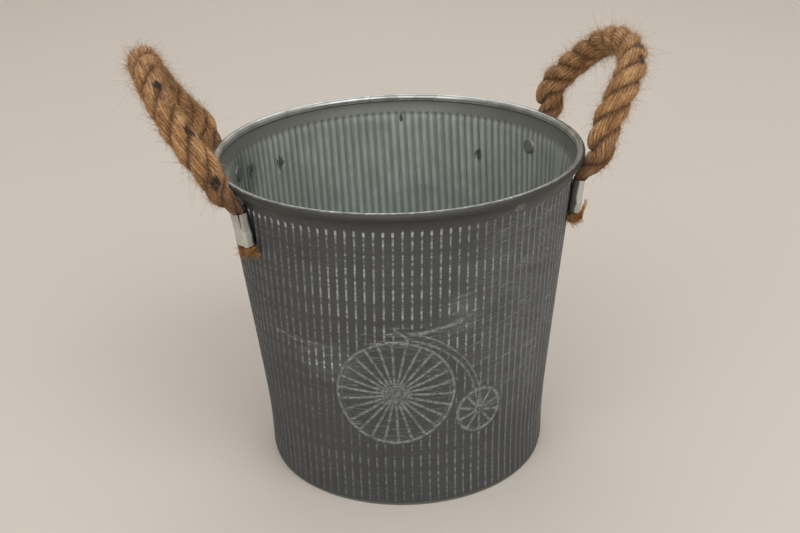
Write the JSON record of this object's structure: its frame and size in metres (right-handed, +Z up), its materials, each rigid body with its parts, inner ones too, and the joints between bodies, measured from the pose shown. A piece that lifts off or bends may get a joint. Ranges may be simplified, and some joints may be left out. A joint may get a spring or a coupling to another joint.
{
  "type": "florist bucket",
  "caption": "Flared round sheet-steel bucket with ribbed walls, a rolled rim and two rope loop handles held in crimped metal sleeves.",
  "frame": {"origin": "centre of the base, on the plane of the bottom hem that the bucket stands on", "axes": "+Z up along the bucket's axis, +X through the middle of the right rope handle, -Y through the middle of the front panel"},
  "size_m": [0.2805, 0.21, 0.2528],
  "materials": {
    "painted_steel": "matt dark grey paint with pale rub marks outside, bare zinc inside",
    "bare_steel": "dull galvanised",
    "sleeve_steel": "light galvanised, lightly marked by crimping",
    "rivet_steel": "satin zinc",
    "jute_rope": "coarse three-strand jute with loose fibres"
  },
  "bodies": {
    "bucket": {"front_panel": "painted_steel", "back_panel": "painted_steel", "base_disc": "bare_steel", "rim_wire": "bare_steel", "sleeve_right_front": "sleeve_steel", "sleeve_right_back": "sleeve_steel", "sleeve_left_front": "sleeve_steel", "sleeve_left_back": "sleeve_steel", "rivet_right_front": "rivet_steel", "rivet_right_back": "rivet_steel", "rivet_left_front": "rivet_steel", "rivet_left_back": "rivet_steel", "rope_end_right_front": "jute_rope", "rope_end_right_back": "jute_rope", "rope_end_left_front": "jute_rope", "rope_end_left_back": "jute_rope"},
    "handle_right": {"rope_loop_right": "jute_rope"},
    "handle_left": {"rope_loop_left": "jute_rope"}
  },
  "joints": [
    {"name": "right_handle_flex", "type": "hinge", "parent": "bucket", "child": "handle_right", "pos_m": [0.104, 0, 0.187], "axis": [0, 1, 0], "range_deg": [-44, 62]},
    {"name": "left_handle_flex", "type": "hinge", "parent": "bucket", "child": "handle_left", "pos_m": [-0.104, 0, 0.187], "axis": [0, -1, 0], "range_deg": [-44, 62]}
  ]
}
